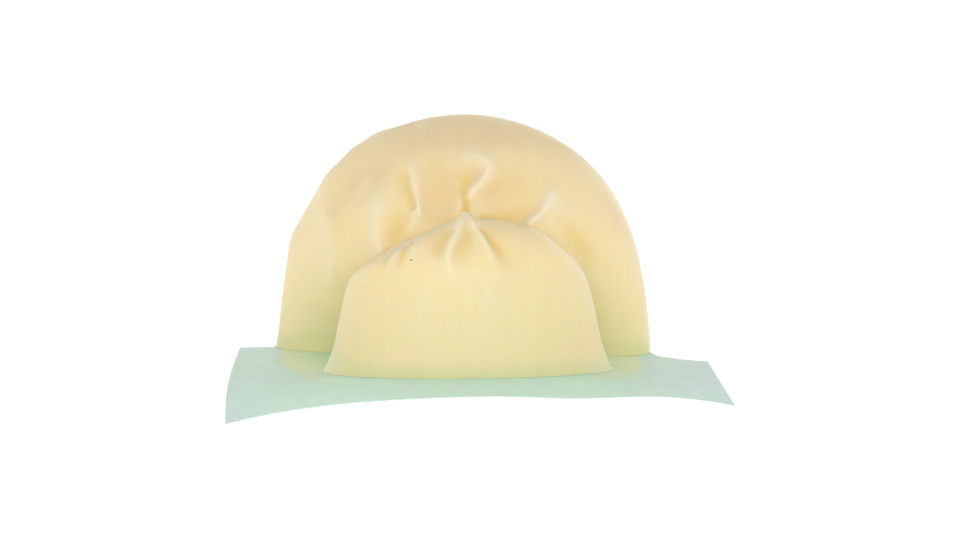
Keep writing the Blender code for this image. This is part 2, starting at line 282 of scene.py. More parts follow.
# where painted shade and green light bounced from the film tint the skin near its foot, as (path,
# strength)
footShadeAndBounce = {
    "left": ([(-46.0, 14.0, 8.0), (-42.0, 8.0, 10.0), (-35.0, 2.0, 11.0), (-26.0, -8.0, 10.0)], 0.7),
    "right": ([(47.0, 6.0, 5.0), (42.0, 0.0, 7.0), (34.0, -6.0, 7.0), (28.0, -12.0, 6.0)], 0.4),
    "leftCorner": ([(-29.0, 8.0, 5.0), (-31.0, 3.0, 6.0), (-33.0, -14.0, 6.0)], 0.7),
    "rightCorner": ([(25.0, 13.0, 4.0), (29.0, 3.0, 5.0), (32.0, -14.0, 5.0)], 0.4),
}
# streaks painted a darker pinkish tan, mostly painted shade along the hollows, as (path, strength)
driedShadeStreaks = {
    "shoulder": ([(-31.4, 19.6, 1.6), (-27.2, 24.7, 2.4), (-23.5, 29.0, 3.0), (-17.6, 35.0, 4.0)], 0.9),
    "shoulder2": ([(-25.0, 20.0, 1.2), (-19.6, 25.2, 1.8), (-14.0, 31.0, 2.4)], 0.6),
    "rightEdge": ([(31.0, 27.0, 2.5), (34.4, 22.8, 3.4), (37.4, 18.4, 3.0), (39.0, 13.0, 2.0)], 0.8),
    "middle": ([(-6.0, 12.0, 3.4), (-4.6, 20.0, 4.4), (-3.0, 30.0, 5.0)], 0.6),
    "rightBand": ([(3.6, 17.6, 1.2), (7.4, 19.6, 1.4), (10.3, 21.3, 1.4), (14.0, 24.0, 1.4)], 0.8),
    "topBand": ([(-18.0, 31.0, 1.6), (-1.8, 32.4, 2.0), (16.0, 30.0, 1.6)], 0.5),
}


# Depth of a dome at each point: with gauge = sqrt(plan + (height / top) ** roundness), where
# plan is the squared share of the ellipse's radii after the taper, the depth is the distance
# to the dome's middle times (1 - 1 / gauge); it is below 0 inside
def lobeDepth(points, lobe):
    height = np.abs(points[..., 2])
    x = points[..., 0] - lobe["centre"][0] - lobe["lean"] * height
    y = points[..., 1] - lobe["centre"][1]
    turn = math.radians(lobe["yaw"])
    across = x * math.cos(turn) + y * math.sin(turn)
    along = y * math.cos(turn) - x * math.sin(turn)
    narrowing = 1 - lobe["taper"] * np.minimum(height, lobe["height"])
    climb = smoothStep(height, cheese["lengthsLeft"], cheese["lengthsReached"])
    front, rear = (foot + climb * (above - foot) for foot, above in (lobe["front"], lobe["rear"]))
    length = np.where(along < 0, front, rear)
    plan = (across / lobe["halfWidth"]) ** 2 + (along / length) ** 2
    gauge = np.sqrt(plan / narrowing ** 2 + (height / lobe["height"]) ** lobe["roundness"])
    return np.sqrt(x * x + y * y + height * height) * (1 - 1 / np.maximum(gauge, 1e-6))


# the lesser of two depths, rounded where they meet: -blend * log of the summed exponentials
def softUnion(first, second, blend):
    nearer = np.minimum(first, second)
    return nearer - blend * np.log(np.exp((nearer - first) / blend) + np.exp((nearer - second) / blend))


# Depths of the body, the head and both together. Each shoulder of the head is cut by a sloping
# plane, and the form is drawn in by a bell-shaped pinch where the two lobes meet
def cheeseDepth(points):
    body = lobeDepth(points, cheese["body"])
    head = lobeDepth(points, cheese["head"])
    for side, (slope, distance) in ((-1, cheese["pressedLeft"]), (1, cheese["pressedRight"])):
        slope = math.radians(slope)
        beyond = points[..., 2] * math.cos(slope) + side * points[..., 0] * math.sin(slope) - distance
        head = -softUnion(-head, -beyond, cheese["pressedBlend"])
    seam = np.exp(-(body ** 2 + head ** 2) / (2 * cheese["neckPinchWidth"] ** 2))
    whole = softUnion(body, head, cheese["neckBlend"]) + cheese["neckPinch"] * seam
    return body, head, whole


# Distance from each (x, rise) to a path of straight spans, the path's half width there, the
# length covered up to there and the whole length
def pathDistance(x, rise, path):
    best = np.full(x.shape, 1e9)
    halfWidth = np.zeros(x.shape)
    covered = np.zeros(x.shape)
    ends = np.array(path)
    steps = np.diff(ends, axis=0)
    lengths = np.hypot(steps[:, 0], steps[:, 1])
    starts = np.concatenate(([0], np.cumsum(lengths)))
    for begin, step, length, before in zip(ends[:-1], steps, lengths, starts):
        share = ((x - begin[0]) * step[0] + (rise - begin[1]) * step[1]) / length ** 2
        share = np.clip(share, 0, 1)
        distance = np.hypot(x - begin[0] - share * step[0], rise - begin[1] - share * step[1])
        nearer = distance < best
        best = np.where(nearer, distance, best)
        halfWidth = np.where(nearer, begin[2] + share * step[2], halfWidth)
        covered = np.where(nearer, before + share * length, covered)
    return best, halfWidth, covered, starts[-1]


# Shape of one stroke, 1 on its path: exp(-(rounded distance / half width) ** power) across,
# with a fade-in at its start and a long fade-out at its end
def stroke(points, path, crest):
    rise = (points[..., 1] + points[..., 2]) / math.sqrt(2)
    distance, halfWidth, covered, length = pathDistance(points[..., 0], rise, path)
    reach = np.sqrt(distance ** 2 + crest ** 2) - crest
    shape = np.exp(-((reach / halfWidth) ** strokeFade["power"]))
    begin, full = strokeFade["start"]
    shape *= smoothStep(covered, begin * halfWidth, full * halfWidth)
    return shape * (1 - smoothStep(covered, strokeFade["end"] * length, length))


# the sum of the patches of colour, each stroke times its strength
def patchTint(points, patches):
    total = np.zeros(points.shape[:-1])
    for path, strength in patches.values():
        total += strength * stroke(points, path, strokeFade["patchCrest"])
    return total


# Heights of the ridges, depths of the grooves and their painted highlights and shade. Where folds
# cross, the cube root of the summed cubes keeps the higher one
def foldRelief(points, folds):
    sums = np.zeros((4, *points.shape[:-1]))
    for path, peak, crest, paintedLight in folds.values():
        shape = stroke(points, path, crest)
        row = 0 if peak > 0 else 1
        sums[row] += (abs(peak) * shape) ** 3
        sums[row + 2] += (paintedLight * shape) ** 3
    return np.cbrt(sums)


# Angles from low to high, closer round each (centre, width, extra) of busy: the running total
# of 1 + extra * exp(-((angle - centre) / width) ** 4) is cut into equal parts
def spacedAngles(low, high, count, busy):
    fine = np.linspace(low, high, cheese["angleSteps"])
    density = np.ones(fine.shape)
    for centre, width, extra in busy:
        density += extra * np.exp(-(((fine - centre) / width) ** 4))
    total = np.concatenate(([0], np.cumsum((density[1:] + density[:-1]) / 2)))
    return np.interp(np.linspace(0, total[-1], count), total, fine)


# Rays leave a start inside the cheese in directions given by two angles: round is 0 straight
# up and +-90 degrees level, along is 0 to the front and 180 to the rear. Each ray is halved
# again and again until it ends on the surface
def surfaceGrid():
    around = np.radians(spacedAngles(-90, 90, cheese["stepsOver"], cheese["closerOver"]))
    along = np.radians(spacedAngles(0, 180, cheese["stepsAlong"] + 2, cheese["closerAlong"]))
    along, around = np.meshgrid(along, around, indexing="ij")
    direction = np.stack((np.sin(along) * np.sin(around), -np.cos(along),
                          np.sin(along) * np.cos(around)), axis=-1)
    start = np.array([*cheese["rayStart"], -cheese["below"]])
    inside = np.zeros(along.shape)
    outside = np.full(along.shape, cheese["rayReach"])
    for _ in range(cheese["halvings"]):
        middle = (inside + outside) / 2
        within = cheeseDepth(start + direction * middle[..., None])[2] < 0
        inside = np.where(within, middle, inside)
        outside = np.where(within, outside, middle)
    return start + direction * inside[..., None]


# outward direction of the plain form: the slope of its depth along x, y and z, made length 1
def surfaceNormals(points):
    slopes = []
    for axis in np.eye(3) * cheese["normalStep"]:
        slopes.append(cheeseDepth(points + axis)[2] - cheeseDepth(points - axis)[2])
    slopes = np.stack(slopes, axis=-1)
    return slopes / np.linalg.norm(slopes, axis=-1, keepdims=True)


# How far the skin stands out along its normal, and how far the folds' painted highlights and shade turn
# it paler and deeper yellow. The height is ridges less grooves, plus the slow unevenness and the bumps,
# each of which is peak * exp(-(offset / radius) ** 2 - (along / reach) ** 2)
def skinRelief(plain, height, onHead, fade):
    relief = onHead * foldRelief(plain, headFolds) + (1 - onHead) * foldRelief(plain, bodyFolds)
    ridges, grooves, paintedHighlight, paintedShade = relief * fade
    swell = unevenness(plain, *cheese["broadSwell"])
    swell += cheese["smallSwellShare"] * unevenness(plain, *cheese["smallSwell"])
    swell *= cheese["swell"] * smoothStep(height, 0, cheese["swellStartHeight"])
    lift = ridges - grooves + swell
    for x, level, radius, peak in bumps.values():
        offset = np.hypot(plain[..., 0] - x, plain[..., 2] - level)
        along = (plain[..., 1] - cheese["bumpsY"][0]) / cheese["bumpsY"][1]
        lift += peak * np.exp(-((offset / radius) ** 2) - along ** 2)
    return lift, paintedHighlight, paintedShade


# How far the foot moves outwards: the head's rim spreads by exp(-height / spread height), and
# the last of the skin is rounded in by a quarter circle
def footSpread(height, onHead):
    radius = cheese["rimRadius"]
    corner = np.clip(radius - height, 0, radius)
    inset = radius - np.sqrt(radius ** 2 - corner ** 2)
    return cheese["rimSpread"] * np.exp(-height / cheese["rimSpreadHeight"]) * onHead - inset


# Rows of points from rim to rim, the first and the last row one point each. Straight lines
# from rim to rim fill the cut face, and a fan closes the front and the rear
def closedMesh(points, material):
    shares = np.linspace(0, 1, cheese["stepsUnder"] + 2)[1:-1]
    rows = points[1:-1]
    cut = rows[:, -1:] + (rows[:, :1] - rows[:, -1:]) * shares[None, :, None]
    grid = np.concatenate((rows, cut), axis=1)
    rowCount, columnCount = grid.shape[:2]
    allPoints = np.concatenate((grid.reshape(-1, 3), points[0, :1], points[-1, :1]))
    allPoints[:, 2] += cheeseLow[2]

    index = np.arange(rowCount * columnCount).reshape(rowCount, columnCount)
    following = np.roll(index, -1, axis=1)
    quads = np.stack((index[:-1], following[:-1], following[1:], index[1:]), axis=-1).reshape(-1, 4)
    frontPole, rearPole = len(allPoints) - 2, len(allPoints) - 1
    front = np.stack((np.full(columnCount, frontPole), following[0], index[0]), axis=-1)
    rear = np.stack((index[-1], following[-1], np.full(columnCount, rearPole)), axis=-1)
    return meshObject("scamorza", allPoints, quads.tolist() + front.tolist() + rear.tolist(), material)


# Numbers the skin's material reads, each 0 to 1. To the folds' painted highlights and shade come the
# neck's seam, exp(-(body ** 2 + head ** 2) / (2 * width ** 2)) of the two depths, painted as a
# highlight on the head and as shade on the body, and a painted highlight on the head's thin rim.
# The top is painted darker by its height and its slope, partly dried skin and partly painted shade, and
# the foot is painted green with shade and light bounced from the film
def skinTints(plain, height, normal, onHead, fade, paintedHighlight, paintedShade):
    body, head, _ = cheeseDepth(plain)
    seam = np.exp(-(body ** 2 + head ** 2) / (2 * tints["seamWidth"] ** 2))
    seam *= smoothStep(height, *tints["seamHeights"])
    rim = smoothStep(np.abs(plain[..., 0]), *tints["rimPalerFrom"])
    rim *= np.exp(-height / tints["rimPalerHeight"])
    driedAndShade = tints["topDriedAndShade"] * smoothStep(height, *tints["topHeights"])
    driedAndShade *= smoothStep(normal[..., 2], *tints["topSlopes"])
    driedAndShade += (1 - onHead) * fade * patchTint(plain, driedShadeStreaks)
    foot = 1 - smoothStep(height, 0, tints["footHeight"])
    foot += (1 - onHead) * patchTint(plain, footShadeAndBounce)
    leftCorner = smoothStep(-plain[..., 0], *tints["cornerFrom"])
    foot += onHead * tints["cornerShadeAndBounce"] * leftCorner * np.exp(-height / tints["cornerHeight"])
    return {
        "crest": paintedHighlight + onHead * (rim + tints["seamPaler"] * seam),
        "crease": paintedShade + (1 - onHead) * tints["seamDeeper"] * seam,
        "driedAndShade": driedAndShade,
        "foot": foot,
    }


# the skin's numbers in the order of the closed mesh's points, with 0 for the cut face
def withCut(values):
    under = np.zeros((len(values) - 2, cheese["stepsUnder"]))
    return np.concatenate((np.concatenate((values[1:-1], under), axis=1).ravel(), [0, 0]))


# The plain form is pushed out along its normal by its relief, and its foot level with the cut
# face. A point is on the head by 1 / (1 + exp((head - body) / changeover)) of the two depths
def makeCheese(material):
    plain = surfaceGrid()
    normal = surfaceNormals(plain)
    body, head, _ = cheeseDepth(plain)
    onHead = 1 / (1 + np.exp((head - body) / cheese["neckChangeover"]))
    height = plain[..., 2] + cheese["below"]
    fade = smoothStep(height, 0, cheese["foldsStartHeight"])
    fade /= 1 + np.exp((plain[..., 1] - cheese["foldsEndY"]) / cheese["foldsEndWidth"])
    lift, paintedHighlight, paintedShade = skinRelief(plain, height, onHead, fade)
    outward = normal * (1, 1, 0)
    outward /= np.maximum(np.linalg.norm(outward, axis=-1, keepdims=True), 1e-6)
    spread = footSpread(height, onHead)
    item = closedMesh(plain + normal * lift[..., None] + outward * spread[..., None], material)
    tinted = skinTints(plain, height, normal, onHead, fade, paintedHighlight, paintedShade)
    for name, values in tinted.items():
        keepAttribute(item, name, withCut(np.clip(values, 0, 1)))
    print("cheese:", len(item.data.polygons), "faces")
    return item


cheeseSkin = {
    "curd": "#F3E0B0",        # stretched curd, pale straw
    "driedShadedCurd": "#EBD5AB",   # the top, partly dried and partly painted shade, is a pinkish tan
    "crease": "#EDD084",      # painted shade, deeper yellow in the folds and the neck
    "crest": "#F2E5CC",       # painted highlight, paler on the ridges, the head's seam and its rim
    "foot": "#CDDDA8",        # painted shade and green light bounced from the film, at the foot
    "footStrength": 0.42,
    "speckColour": "#7E7060",
    "speckPlace": (-11.1, -40.8, 26.1),
    "speckSize": (0.15, 0.15, 1.5),   # radii across the skin and into it
    "speckTilt": math.radians(45),
    "speckEdge": {"From Min": 1.0, "From Max": 1.6, "To Min": 1.0, "To Max": 0.0},
    "mottleSize": 9.0,
    "mottleDriedShade": {"From Min": 0.35, "From Max": 0.65, "To Min": 0.55, "To Max": 1.0},
    "mottleRoughness": {"From Min": 0.3, "From Max": 0.7, "To Min": 0.44, "To Max": 0.56},
    "threadSize": 2.6,        # pulled threads, about six times as long as they are wide
    "threadStretch": (1.0, 0.16, 0.16),
    "threadTint": {"From Min": 0.3, "From Max": 0.7, "To Min": 0.99, "To Max": 1.01},
    "threadDepth": 0.15,
    "threadStrength": 0.1,
    "poreSize": 0.7,          # real pores, about 0.2 mm, are finer than a pixel, so coarser
    "poreDepth": 0.08,
    "poreStrength": 0.2,
    "roughness": 0.5,
    "scatterReach": 2.8,
    "scatterShare": (1.0, 0.62, 0.3),     # red goes furthest into pale dairy fat, blue least
}


# Stretched-curd cheese, dipped in brine and air dried: a closed, slightly waxy skin. Light
# goes some millimetres in and comes out warmer, gloss is soft, and faint threads run
# lengthwise where the hot curd was pulled towards the neck
def makeCheeseSkin():
    material, tree, shader = newMaterial("driedScamorzaSkin", {
        "Roughness": cheeseSkin["roughness"],
        "IOR": 1.44,
        "Subsurface Weight": 0.7,
        "Subsurface Radius": cheeseSkin["scatterShare"],
        "Subsurface Scale": cheeseSkin["scatterReach"] * mm,
    })
    place = addNode(tree, "TexCoord").outputs["Object"]
    mottle = addNode(tree, "TexNoise", {}, {
        "Vector": place, "Scale": 1 / (cheeseSkin["mottleSize"] * mm), "Detail": 3.0}).outputs["Fac"]
    pulled = addNode(tree, "Mapping", {}, {"Vector": place, "Scale": cheeseSkin["threadStretch"]})
    threads = addNode(tree, "TexNoise", {}, {
        "Vector": pulled.outputs["Vector"], "Scale": 1 / (cheeseSkin["threadSize"] * mm),
        "Detail": 2.0}).outputs["Fac"]
    pores = addNode(tree, "TexNoise", {}, {
        "Vector": place, "Scale": 1 / (cheeseSkin["poreSize"] * mm), "Detail": 2.0}).outputs["Fac"]

    # how far the skin is painted a darker pinkish tan, partly dried skin and partly painted shade, made
    # patchy by the mottling
    driedAndShade = addNode(tree, "Attribute", {"attribute_name": "driedAndShade"}).outputs["Fac"]
    patch = addNode(tree, "MapRange", {}, {"Value": mottle, **cheeseSkin["mottleDriedShade"]})
    share = addNode(tree, "Math", {"operation": "MULTIPLY"}, {0: driedAndShade, 1: patch.outputs["Result"]})
    colour = addNode(tree, "Mix", {"data_type": "RGBA"}, {
        0: share.outputs[0], 6: linearColour(cheeseSkin["curd"]),
        7: linearColour(cheeseSkin["driedShadedCurd"])}).outputs[2]
    # painted shade deepens the grooves and the body's neck to yellow, and a painted highlight pales the
    # ridges, the head's seam and its rim
    for name in ("crease", "crest"):
        share = addNode(tree, "Attribute", {"attribute_name": name}).outputs["Fac"]
        colour = addNode(tree, "Mix", {"data_type": "RGBA"}, {
            0: share, 6: colour, 7: linearColour(cheeseSkin[name])}).outputs[2]
    tint = addNode(tree, "MapRange", {}, {"Value": threads, **cheeseSkin["threadTint"]})
    colour = addNode(tree, "VectorMath", {"operation": "SCALE"}, {
        0: colour, "Scale": tint.outputs["Result"]}).outputs[0]
    # painted shade and green light bounced from the film, near the foot
    foot = addNode(tree, "Attribute", {"attribute_name": "foot"}).outputs["Fac"]
    share = addNode(tree, "Math", {"operation": "MULTIPLY"}, {0: foot, 1: cheeseSkin["footStrength"]})
    colour = addNode(tree, "Mix", {"data_type": "RGBA"}, {
        0: share.outputs[0], 6: colour, 7: linearColour(cheeseSkin["foot"])}).outputs[2]

    # one small dark speck on the head, inside an ellipsoid that reaches through the skin
    away = addNode(tree, "Mapping", {"vector_type": "TEXTURE"}, {
        "Vector": place, "Location": [length * mm for length in cheeseSkin["speckPlace"]],
        "Rotation": (cheeseSkin["speckTilt"], 0, 0),
        "Scale": [length * mm for length in cheeseSkin["speckSize"]]})
    away = addNode(tree, "VectorMath", {"operation": "LENGTH"}, {0: away.outputs["Vector"]})
    speck = addNode(tree, "MapRange", {}, {"Value": away.outputs["Value"], **cheeseSkin["speckEdge"]})
    colour = addNode(tree, "Mix", {"data_type": "RGBA"}, {
        0: speck.outputs["Result"], 6: colour, 7: linearColour(cheeseSkin["speckColour"])}).outputs[2]
    tree.links.new(colour, shader.inputs["Base Color"])

    roughness = addNode(tree, "MapRange", {}, {"Value": mottle, **cheeseSkin["mottleRoughness"]})
    tree.links.new(roughness.outputs["Result"], shader.inputs["Roughness"])
    bump = addNode(tree, "Bump", {}, {
        "Height": threads, "Strength": cheeseSkin["threadStrength"],
        "Distance": cheeseSkin["threadDepth"] * mm})
    bump = addNode(tree, "Bump", {}, {
        "Height": pores, "Normal": bump.outputs["Normal"],
        "Strength": cheeseSkin["poreStrength"], "Distance": cheeseSkin["poreDepth"] * mm})
    tree.links.new(bump.outputs["Normal"], shader.inputs["Normal"])
    return material


scamorza = makeCheese(makeCheeseSkin())
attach(scamorza, "root")
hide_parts("scamorza_half")


film = {
    "thickness": 0.12,
    "frontLeft": (-46.5, -112.0),
    "frontRight": (56.3, -84.5),
    "backLeft": (-52.3, 15.0),
    "backRight": (55.6, -10.3),
    "rearRight": (44.6, -3.6),
    "sideMargin": 0.8,        # how far the rounded rear reaches past the cheese's foot
    "rearMargin": 3.5,
    "rearLimit": 42.9,        # x that it doesn't pass
    "rearLastAngle": 176.0,
    "cornerShare": 2 / 26,    # of the width, for each corner of the rear edge
    "jointEnd": 1.5,          # in corners from the right, where the rounded rear begins
    "leftBulge": 1.1,         # its left edge is not quite straight
    "bulgePower": 6,
    "bed": 0.5,               # the sheet lies this much higher where the cheese holds it
    "frontLift": 3.8,
    "liftFlatness": 3.2,
    "liftStart": -48.0,       # y where it starts to bend up
    "liftBend": 1.8,
    "dip": 1.0,               # the raised front edge sags a little, at this share across
    "dipPlace": 0.69,
    "dipWidth": 0.14,
    "clearFrom": (1.0, 14.0),     # no waves at the cheese's foot, full ones this far off
    "waveHeight": 0.06,
    "waves": (30.0, 1.1),     # their length and first direction
    "crinkleHeight": 0.05,
    "crinkles": (4.2, 0.3),
    "crinklePlace": (-38.0, -56.0),
    "crinkleReach": 13.0,
    "crinkleNarrowing": 0.55,
    "creasePath": [(41.0, -38.0, 0.9), (46.0, -48.0, 1.1), (50.5, -60.0, 1.3)],
    "creaseHeight": 0.12,
    "creaseEnd": 0.6,         # it fades from this share of its length on
    # the painted reflection of the cheese: its half width, reach to the front and squareness, left and
    # right of its middle
    "reflectionLeft": (43.0, 86.0, 2.0),
    "reflectionRight": (42.0, 55.0, 6.0),
    "reflectionEdge": 0.94,
    "reflectionBeside": (24.0, 34.0),    # faint in front of the head, full this far to a side
    "reflectionFaint": 0.1,
    "reflectionNear": (-34.0, -28.0),    # full near the body, weaker in front of it
    "reflectionWeaker": 0.6,
    # the body is mirrored darker inside a smaller oval, with this half width and reach
    "shadeLeft": (41.0, 60.0),
    "shadeRight": (41.0, 38.0),
    "shadeEdge": 0.75,
    "contactReach": 4.0,      # it is darker still close to the cheese
    "contactShade": 0.45,
    "headLightFrom": (36.0, 44.0),    # light from the head falls this far to the front
    "headLightSide": (26.0, 44.0),
    "stepsAcross": 220,
    "stepsAlong": 150,
}


# a straight line from one end to the other, for an array of shares
def straight(start, end, share):
    return np.array(start) + (np.array(end) - np.array(start)) * share[..., None]


# a point just outside the rear of the body's foot, on its ellipse with a margin: the angle is
# 0 at its left and 180 at its right
def footPoint(angle):
    body = cheese["body"]
    turn = math.radians(body["yaw"])
    across = -(body["halfWidth"] + film["sideMargin"]) * np.cos(angle)
    along = (body["rear"][0] + film["rearMargin"]) * np.sin(angle)
    x = body["centre"][0] + across * math.cos(turn) - along * math.sin(turn)
    y = body["centre"][1] + across * math.sin(turn) + along * math.cos(turn)
    return np.stack((np.minimum(x, film["rearLimit"]), y), axis=-1)


# The sheet's rear edge: a straight corner at each side and the rounded rear between them. Each
# line runs from end to end by its share of a corner's width
def filmRear(side):
    corner = film["cornerShare"]
    lastAngle = math.radians(film["rearLastAngle"])
    fromRight = (1 - side) / corner
    roundedShare = 1 - (1 + film["jointEnd"]) * corner
    rounded = footPoint(np.clip((side - corner) / roundedShare, 0, 1) * lastAngle)
    left = straight(film["backLeft"], footPoint(np.array(0.0)), side / corner)
    fromCorner = (fromRight - 1) / (film["jointEnd"] - 1)
    joint = straight(film["rearRight"], footPoint(np.array(lastAngle)), fromCorner)
    right = straight(film["backRight"], film["rearRight"], fromRight)
    edge = np.where((side < corner)[..., None], left, rounded)
    edge = np.where((fromRight < film["jointEnd"])[..., None], joint, edge)
    return np.where((fromRight < 1)[..., None], right, edge)


# Numbers the film's material reads, each 0 to 1. The painted reflection of the cheese is an ellipse
# round
# the body, squarer on the right: |across| ** power + |forward| ** power, each as a share of its
# radius. It is strongest near the body and faint in front of the head. The shade of the body's
# mirror image is a smaller oval, or exp(-(distance from the cheese / reach) ** 2) if that is
# more. The head's light is a block in front of it with soft edges
def filmTints(x, y, away):
    centre = cheese["body"]["centre"]
    onLeft = (x < centre[0])[..., None]
    pick = np.where(onLeft, film["reflectionLeft"], film["reflectionRight"])
    halfWidth, front, power = pick.transpose(2, 0, 1)
    gauge = np.abs((x - centre[0]) / halfWidth) ** power + np.abs((y - centre[1]) / front) ** power
    beside = smoothStep(np.abs(x - centre[0]), *film["reflectionBeside"])
    beside = film["reflectionFaint"] + (1 - film["reflectionFaint"]) * beside
    near = smoothStep(y, *film["reflectionNear"])
    near = film["reflectionWeaker"] + (1 - film["reflectionWeaker"]) * near
    cheeseReflection = (1 - smoothStep(gauge ** (1 / power), film["reflectionEdge"], 1.0)) * beside * near
    halfWidth, front = np.where(onLeft, film["shadeLeft"], film["shadeRight"]).transpose(2, 0, 1)
    oval = np.hypot((x - centre[0]) / halfWidth, (y - centre[1]) / front)
    contact = film["contactShade"] * np.exp(-((np.maximum(away, 0) / film["contactReach"]) ** 2))
    shade = np.maximum(1 - smoothStep(oval, film["shadeEdge"], 1.0), contact)
    headLight = smoothStep(-y, *film["headLightFrom"])
    headLight *= 1 - smoothStep(np.abs(x), *film["headLightSide"])
    return {"cheeseReflection": cheeseReflection, "shade": shade, "headLight": headLight}


# The sheet is a grid of straight lines from its front edge to its rear edge. It lies flat
# under the cheese, a little higher there, and bends up towards the middle of its front edge:
# (share of the way there) ** bend * (lift * (1 - |across| ** flatness) - dip). It has slow
# waves, a patch of crinkles and one crease, all fading out at the cheese's foot
def makeFilm(material):
    side, along = np.meshgrid(np.linspace(0, 1, film["stepsAcross"]),
                              np.linspace(0, 1, film["stepsAlong"]), indexing="ij")
    front = straight(film["frontLeft"], film["frontRight"], side)
    flat = front + (filmRear(side) - front) * along[..., None]
    y = flat[..., 1]
    x = flat[..., 0] - film["leftBulge"] * np.sin(math.pi * along) * (1 - side) ** film["bulgePower"]
    reach = np.clip((film["liftStart"] - y) / (film["liftStart"] - front[..., 1]), 0, 1)
    across = np.abs(2 * side - 1)
    profile = film["frontLift"] * (1 - across ** film["liftFlatness"])
    profile -= film["dip"] * np.exp(-(((side - film["dipPlace"]) / film["dipWidth"]) ** 2))
    place = np.stack((x, y, np.zeros(x.shape)), axis=-1)
    away = cheeseDepth(place)[2]
    clear = smoothStep(away, *film["clearFrom"])
    waves = film["waveHeight"] * (1 + unevenness(place, *film["waves"]))
    sideways, forward = x - film["crinklePlace"][0], y - film["crinklePlace"][1]
    offset = np.hypot(sideways, film["crinkleNarrowing"] * forward)
    crinkles = np.exp(-((offset / film["crinkleReach"]) ** 2))
    crinkles *= film["crinkleHeight"] * (1 + unevenness(place, *film["crinkles"]))
    distance, halfWidth, covered, length = pathDistance(x, y, film["creasePath"])
    crease = np.exp(-((distance / halfWidth) ** 2))
    crease *= 1 - smoothStep(covered, film["creaseEnd"] * length, length)
    height = reach ** film["liftBend"] * np.maximum(profile, 0) + film["bed"] * (1 - clear)
    height += clear * (waves + crinkles + film["creaseHeight"] * crease)
    points = np.stack((x, y, np.maximum(height, 0) + film["thickness"]), axis=-1)
    index = np.arange(x.size).reshape(x.shape)
    quads = np.stack((index[:-1, :-1], index[1:, :-1], index[1:, 1:], index[:-1, 1:]), axis=-1)
    item = meshObject("wrapping_film", points.reshape(-1, 3), quads.reshape(-1, 4).tolist(), material)
    for name, values in {"fold": crease, **filmTints(x, y, away)}.items():
        keepAttribute(item, name, values.ravel())
    wall = item.modifiers.new("thickness", "SOLIDIFY")
    wall.thickness = film["thickness"] * mm
    wall.offset = -1
    print("film:", len(item.data.polygons), "faces")
    return item


filmLook = {
    "green": "#C4E5D2",
    "lavender": "#CDD3DC",    # in places the sheet mirrors the surroundings and looks bluer
    "headLight": "#CEF0DC",   # lit through from the bright skin in front of the head
    "fold": "#D2E2DC",        # along the crease it catches the light
    "cheeseReflection": "#DBE7B4",     # painted reflection, where the cheese is mirrored
    "shade": "#A0DC90",       # close to the cheese the mirror image is darker
    "shadeStrength": 0.55,
    "alpha": 0.6,
    "roughness": 0.5,
    "specular": 0.25,
    "wrinkleSize": 4.0,       # real ones, under 1 mm, hardly show at this size, so coarser
    "wrinkleTint": {"From Min": 0.3, "From Max": 0.7, "To Min": 0.96, "To Max": 1.03},
    "wrinkleDepth": 0.1,
    "wrinkleStrength": 0.08,
    "cloudSize": 45.0,
    "cloudLavender": {"From Min": 0.42, "From Max": 0.62, "To Min": 0.0, "To Max": 0.35},
}


# Thin tinted food wrap, a cast plastic film: see-through and pale sea green, with small
# wrinkles that break its gloss up into a soft sheen
def makeFilmLook():
    material, tree, shader = newMaterial("castFoodFilm", {
        "Base Color": linearColour(filmLook["green"]),
        "Roughness": filmLook["roughness"],
        "Specular IOR Level": filmLook["specular"],
        "IOR": 1.5,
        "Alpha": filmLook["alpha"],
    })
    place = addNode(tree, "TexCoord").outputs["Object"]
    wrinkles = addNode(tree, "TexNoise", {}, {
        "Vector": place, "Scale": 1 / (filmLook["wrinkleSize"] * mm), "Detail": 2.0}).outputs["Fac"]
    clouds = addNode(tree, "TexNoise", {}, {
        "Vector": place, "Scale": 1 / (filmLook["cloudSize"] * mm), "Detail": 1.0}).outputs["Fac"]
    share = addNode(tree, "MapRange", {}, {"Value": clouds, **filmLook["cloudLavender"]})
    colour = addNode(tree, "Mix", {"data_type": "RGBA"}, {
        0: share.outputs["Result"], 6: linearColour(filmLook["green"]),
        7: linearColour(filmLook["lavender"])}).outputs[2]
    # painted light through from the head, a painted highlight along the crease and the painted
    # reflection of the cheese
    for name in ("headLight", "fold", "cheeseReflection"):
        share = addNode(tree, "Attribute", {"attribute_name": name}).outputs["Fac"]
        colour = addNode(tree, "Mix", {"data_type": "RGBA"}, {
            0: share, 6: colour, 7: linearColour(filmLook[name])}).outputs[2]
    shade = addNode(tree, "Attribute", {"attribute_name": "shade"}).outputs["Fac"]
    share = addNode(tree, "Math", {"operation": "MULTIPLY"}, {0: shade, 1: filmLook["shadeStrength"]})
    colour = addNode(tree, "Mix", {"data_type": "RGBA"}, {
        0: share.outputs[0], 6: colour, 7: linearColour(filmLook["shade"])}).outputs[2]
    tint = addNode(tree, "MapRange", {}, {"Value": wrinkles, **filmLook["wrinkleTint"]})
    colour = addNode(tree, "VectorMath", {"operation": "SCALE"}, {
        0: colour, "Scale": tint.outputs["Result"]}).outputs[0]
    tree.links.new(colour, shader.inputs["Base Color"])
    bump = addNode(tree, "Bump", {}, {
        "Height": wrinkles, "Strength": filmLook["wrinkleStrength"],
        "Distance": filmLook["wrinkleDepth"] * mm})
    tree.links.new(bump.outputs["Normal"], shader.inputs["Normal"])
    return material


wrappingFilm = makeFilm(makeFilmLook())
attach(wrappingFilm, "root")
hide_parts("film_sheet")


